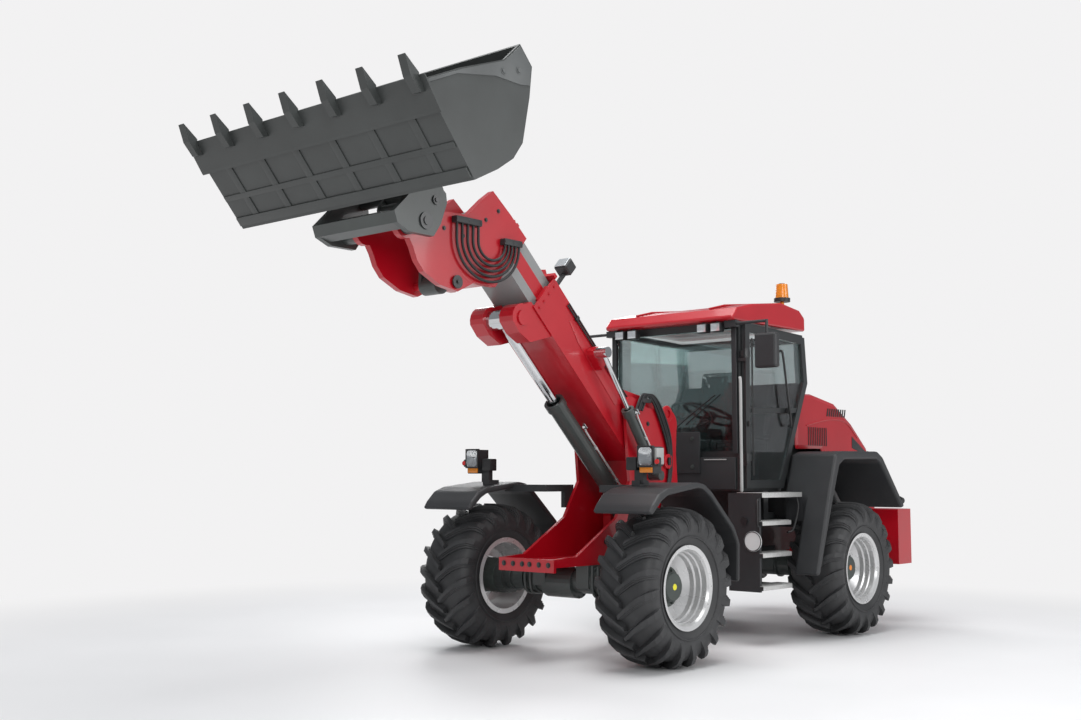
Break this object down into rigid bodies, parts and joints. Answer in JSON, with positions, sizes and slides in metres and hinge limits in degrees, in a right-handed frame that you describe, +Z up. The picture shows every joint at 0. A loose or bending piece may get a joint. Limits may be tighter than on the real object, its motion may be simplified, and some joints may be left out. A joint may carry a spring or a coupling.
{
  "type": "telescopic articulated wheel loader",
  "caption": "Articulated wheel loader with a telescopic lift boom, quick hitch, toothed bucket, glazed cab, rear engine hood and working joints.",
  "frame": {"origin": "middle of the footprint on the ground", "axes": "+Z up, the bucket at -Y, the engine at +Y, the left side at +X"},
  "size_m": [2.6, 7.4641, 4.433],
  "materials": {
    "red": "gloss paint",
    "dark": "textured dark grey",
    "steel": "dark grey-green paint",
    "tyre": "moulded rubber",
    "silver": "silver paint",
    "chrome": "polished rod",
    "glass": "tinted safety glass",
    "amber": "translucent amber",
    "cloth": "woven seat cover"
  },
  "bodies": {
    "rear_frame": {"beacon": "amber", "cab_frame": "dark", "cab_roof": "red", "counterweight": "red", "engine_block": "steel", "mirror_left": "dark", "mirror_right": "dark", "rear_axle": "steel", "rear_fender_left": "dark", "rear_fender_right": "dark", "rear_frame": "dark", "rear_window_glass": "glass", "right_window_glass": "glass", "seat_back": "cloth", "seat_base": "cloth", "seat_cushion": "cloth", "side_console": "dark", "side_tank_right": "dark", "steering_column": "dark", "step_unit_left": "dark", "windscreen_glass": "glass"},
    "front_frame": {"front_frame": "red", "front_axle": "steel", "front_fender_left": "dark", "front_fender_right": "dark", "headlight_left": "dark", "headlight_right": "dark"},
    "boom": {"boom_outer": "red", "boom_work_light": "dark"},
    "inner_boom": {"boom_inner": "red", "gooseneck": "red", "boom_hoses": "dark"},
    "attachment": {"quick_hitch": "steel", "bucket": "steel", "cutting_edge": "steel"},
    "engine_hood": {"engine_hood": "red"},
    "cab_door": {"cab_door": "dark", "door_glass_lower": "glass", "door_glass_upper": "glass"},
    "wheel_front_left": {"front_left_tyre": "tyre", "front_left_rim": "silver"},
    "wheel_front_right": {"front_right_tyre": "tyre", "front_right_rim": "silver"},
    "wheel_rear_left": {"rear_left_tyre": "tyre", "rear_left_rim": "silver"},
    "wheel_rear_right": {"rear_right_tyre": "tyre", "rear_right_rim": "silver"},
    "levelling_cylinder_barrel": {"levelling_cylinder_barrel": "steel"},
    "levelling_cylinder_rod": {"levelling_cylinder_rod": "chrome"},
    "lift_cylinder_barrel": {"lift_cylinder_barrel": "steel"},
    "lift_cylinder_rod": {"lift_cylinder_rod": "chrome"},
    "steering_cylinder_left_barrel": {"steering_cylinder_left_barrel": "steel"},
    "steering_cylinder_left_rod": {"steering_cylinder_left_rod": "chrome"},
    "steering_cylinder_right_barrel": {"steering_cylinder_right_barrel": "steel"},
    "steering_cylinder_right_rod": {"steering_cylinder_right_rod": "chrome"},
    "tilt_cylinder_barrel": {"tilt_cylinder_barrel": "steel"},
    "tilt_cylinder_rod": {"tilt_cylinder_rod": "chrome"},
    "tilt_lever": {"tilt_lever": "steel"},
    "tilt_link": {"tilt_link": "steel"}
  },
  "joints": [
    {"name": "articulation", "type": "hinge", "parent": "rear_frame", "child": "front_frame", "pos_m": [0, 0.81, 0.8], "axis": [0, 0, 1], "range_deg": [-38, 38]},
    {"name": "front_left_wheel", "type": "hinge", "parent": "front_frame", "child": "wheel_front_left", "pos_m": [0.97, -0.63, 0.627], "axis": [1, 0, 0], "continuous": true},
    {"name": "front_right_wheel", "type": "hinge", "parent": "front_frame", "child": "wheel_front_right", "pos_m": [-0.97, -0.63, 0.627], "axis": [1, 0, 0], "continuous": true},
    {"name": "rear_left_wheel", "type": "hinge", "parent": "rear_frame", "child": "wheel_rear_left", "pos_m": [0.97, 2.252, 0.627], "axis": [1, 0, 0], "continuous": true},
    {"name": "rear_right_wheel", "type": "hinge", "parent": "rear_frame", "child": "wheel_rear_right", "pos_m": [-0.97, 2.252, 0.627], "axis": [1, 0, 0], "continuous": true},
    {"name": "boom_lift", "type": "hinge", "parent": "front_frame", "child": "boom", "pos_m": [0, 0.37, 1.95], "axis": [-1, 0, 0], "range_deg": [-53, 8]},
    {"name": "boom_telescope", "type": "slide", "parent": "boom", "child": "inner_boom", "axis": [0, -0.7254, 0.6884], "range_m": [-0.25, 0.9]},
    {"name": "bucket_tilt", "type": "hinge", "parent": "inner_boom", "child": "attachment", "pos_m": [0, -2.76, 3.3], "axis": [1, 0, 0], "range_deg": [-12, 85]},
    {"name": "lift_cylinder_pivot", "type": "hinge", "parent": "front_frame", "child": "lift_cylinder_barrel", "pos_m": [0, 0.12, 1.187], "axis": [-1, 0, 0], "range_deg": [-75, 15]},
    {"name": "lift_cylinder_stroke", "type": "slide", "parent": "lift_cylinder_barrel", "child": "lift_cylinder_rod", "axis": [0, -0.7206, 0.6934], "range_m": [-0.74, 0.13]},
    {"name": "levelling_cylinder_pivot", "type": "hinge", "parent": "front_frame", "child": "levelling_cylinder_barrel", "pos_m": [0.385, 0.07, 1.5], "axis": [-1, 0, 0], "range_deg": [-65, 15]},
    {"name": "levelling_cylinder_stroke", "type": "slide", "parent": "levelling_cylinder_barrel", "child": "levelling_cylinder_rod", "axis": [0, -0.5849, 0.8111], "range_m": [-0.5, 0.09]},
    {"name": "tilt_lever_pivot", "type": "hinge", "parent": "inner_boom", "child": "tilt_lever", "pos_m": [0, -2.25, 2.94], "axis": [1, 0, 0], "range_deg": [-10, 45]},
    {"name": "tilt_link_pivot", "type": "hinge", "parent": "attachment", "child": "tilt_link", "pos_m": [0, -2.665, 3.465], "axis": [1, 0, 0], "range_deg": [-100, 18]},
    {"name": "tilt_cylinder_pivot", "type": "hinge", "parent": "inner_boom", "child": "tilt_cylinder_barrel", "pos_m": [0, -1.65, 3.6], "axis": [1, 0, 0], "range_deg": [-5, 5]},
    {"name": "tilt_cylinder_stroke", "type": "slide", "parent": "tilt_cylinder_barrel", "child": "tilt_cylinder_rod", "axis": [0, -0.9302, -0.3672], "range_m": [-0.06, 0.32]},
    {"name": "steering_cylinder_left_pivot", "type": "hinge", "parent": "rear_frame", "child": "steering_cylinder_left_barrel", "pos_m": [0.36, 1.42, 0.87], "axis": [0, 0, 1], "range_deg": [-12, 12]},
    {"name": "steering_cylinder_left_stroke", "type": "slide", "parent": "steering_cylinder_left_barrel", "child": "steering_cylinder_left_rod", "axis": [-0.1272, -0.9919, 0], "range_m": [-0.26, 0.26]},
    {"name": "steering_cylinder_right_pivot", "type": "hinge", "parent": "rear_frame", "child": "steering_cylinder_right_barrel", "pos_m": [-0.36, 1.42, 0.87], "axis": [0, 0, 1], "range_deg": [-12, 12]},
    {"name": "steering_cylinder_right_stroke", "type": "slide", "parent": "steering_cylinder_right_barrel", "child": "steering_cylinder_right_rod", "axis": [0.1272, -0.9919, 0], "range_m": [-0.26, 0.26]},
    {"name": "cab_door_hinge", "type": "hinge", "parent": "rear_frame", "child": "cab_door", "pos_m": [0.785, 0.905, 2.1], "axis": [0, 0, -1], "range_deg": [0, 80]},
    {"name": "engine_hood_hinge", "type": "hinge", "parent": "rear_frame", "child": "engine_hood", "pos_m": [0, 2.17, 2.29], "axis": [1, 0, 0], "range_deg": [0, 55]}
  ],
  "couplings": [
    {"joint": "lift_cylinder_pivot", "follows": "boom_lift", "ratio": 0.968},
    {"joint": "lift_cylinder_stroke", "follows": "boom_lift", "m_per_rad": 0.775},
    {"joint": "levelling_cylinder_pivot", "follows": "boom_lift", "ratio": 1.014},
    {"joint": "levelling_cylinder_stroke", "follows": "boom_lift", "m_per_rad": 0.52},
    {"joint": "tilt_lever_pivot", "follows": "bucket_tilt", "ratio": 0.4889},
    {"joint": "tilt_link_pivot", "follows": "bucket_tilt", "ratio": -1.1272},
    {"joint": "tilt_cylinder_pivot", "follows": "bucket_tilt", "ratio": -0.01529},
    {"joint": "tilt_cylinder_stroke", "follows": "bucket_tilt", "m_per_rad": 0.20136},
    {"joint": "steering_cylinder_left_pivot", "follows": "articulation", "ratio": 0.175},
    {"joint": "steering_cylinder_left_stroke", "follows": "articulation", "m_per_rad": -0.265},
    {"joint": "steering_cylinder_right_pivot", "follows": "articulation", "ratio": 0.175},
    {"joint": "steering_cylinder_right_stroke", "follows": "articulation", "m_per_rad": 0.265}
  ]
}
